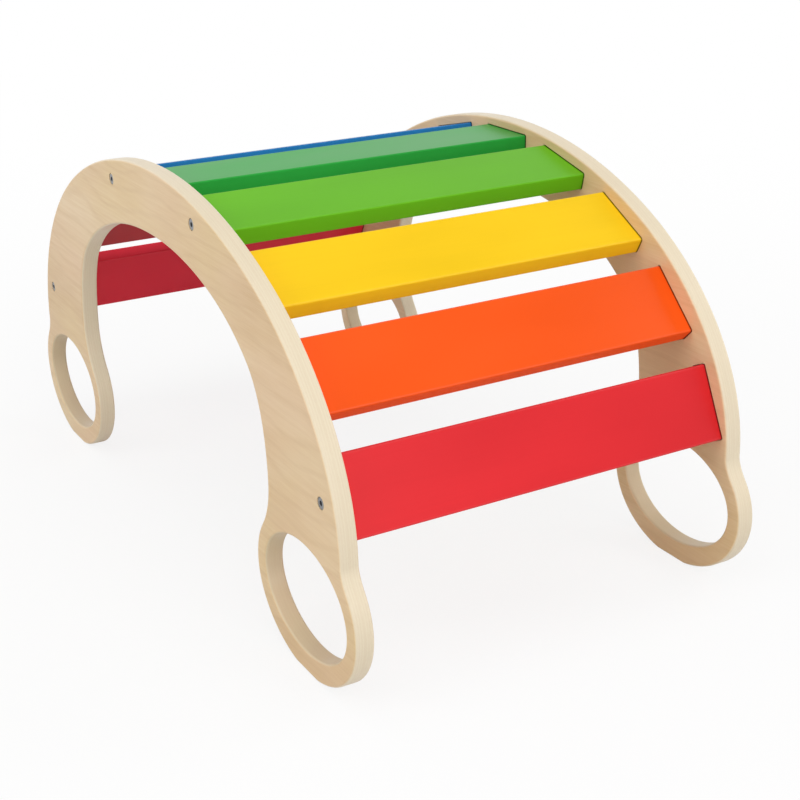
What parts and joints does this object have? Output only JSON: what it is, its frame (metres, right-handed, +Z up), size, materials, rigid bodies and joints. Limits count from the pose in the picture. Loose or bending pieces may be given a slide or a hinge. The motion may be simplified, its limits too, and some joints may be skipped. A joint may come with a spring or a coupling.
{
  "type": "rainbow rocker",
  "caption": "Arched climbing rocker: painted slats bridge plywood side panels that end in oval ring feet; it stands as an arch and rocks when turned over.",
  "frame": {"origin": "on the floor, below the middle of the arch and midway between the side panels", "axes": "+X along the arch's length, from the red slat's end to the crimson slat's end; +Y along the slats, from the front panel to the back panel; +Z up"},
  "size_m": [0.9058, 0.49, 0.444],
  "materials": {
    "birch_plywood": "clear satin lacquer over birch plywood, fine grain along X, edges rounded and sanded",
    "red_paint": "smooth satin red paint on birch plywood",
    "orange_paint": "smooth satin orange paint on birch plywood",
    "yellow_paint": "smooth satin yellow paint on birch plywood",
    "lime_paint": "smooth satin lime paint on birch plywood",
    "green_paint": "smooth satin green paint on birch plywood",
    "blue_paint": "smooth satin blue paint on birch plywood",
    "violet_paint": "smooth satin violet paint on birch plywood",
    "burgundy_paint": "smooth satin burgundy paint on birch plywood",
    "crimson_paint": "smooth satin crimson paint on birch plywood",
    "bolt_steel": "nickel-plated steel, satin",
    "insert_brass": "plain brass, hidden inside the slat"
  },
  "bodies": {
    "root": {"front_side_panel": "birch_plywood", "back_side_panel": "birch_plywood", "slat_1_red": "red_paint", "slat_2_orange": "orange_paint", "slat_3_yellow": "yellow_paint", "slat_4_lime": "lime_paint", "slat_5_green": "green_paint", "slat_6_blue": "blue_paint", "slat_7_violet": "violet_paint", "slat_8_burgundy": "burgundy_paint", "slat_9_crimson": "crimson_paint", "front_bolt_1": "bolt_steel", "front_insert_1": "insert_brass", "front_bolt_4": "bolt_steel", "front_insert_4": "insert_brass", "front_bolt_6": "bolt_steel", "front_insert_6": "insert_brass", "front_bolt_9": "bolt_steel", "front_insert_9": "insert_brass", "back_bolt_1": "bolt_steel", "back_insert_1": "insert_brass", "back_bolt_4": "bolt_steel", "back_insert_4": "insert_brass", "back_bolt_6": "bolt_steel", "back_insert_6": "insert_brass", "back_bolt_9": "bolt_steel", "back_insert_9": "insert_brass"}
  },
  "joints": []
}
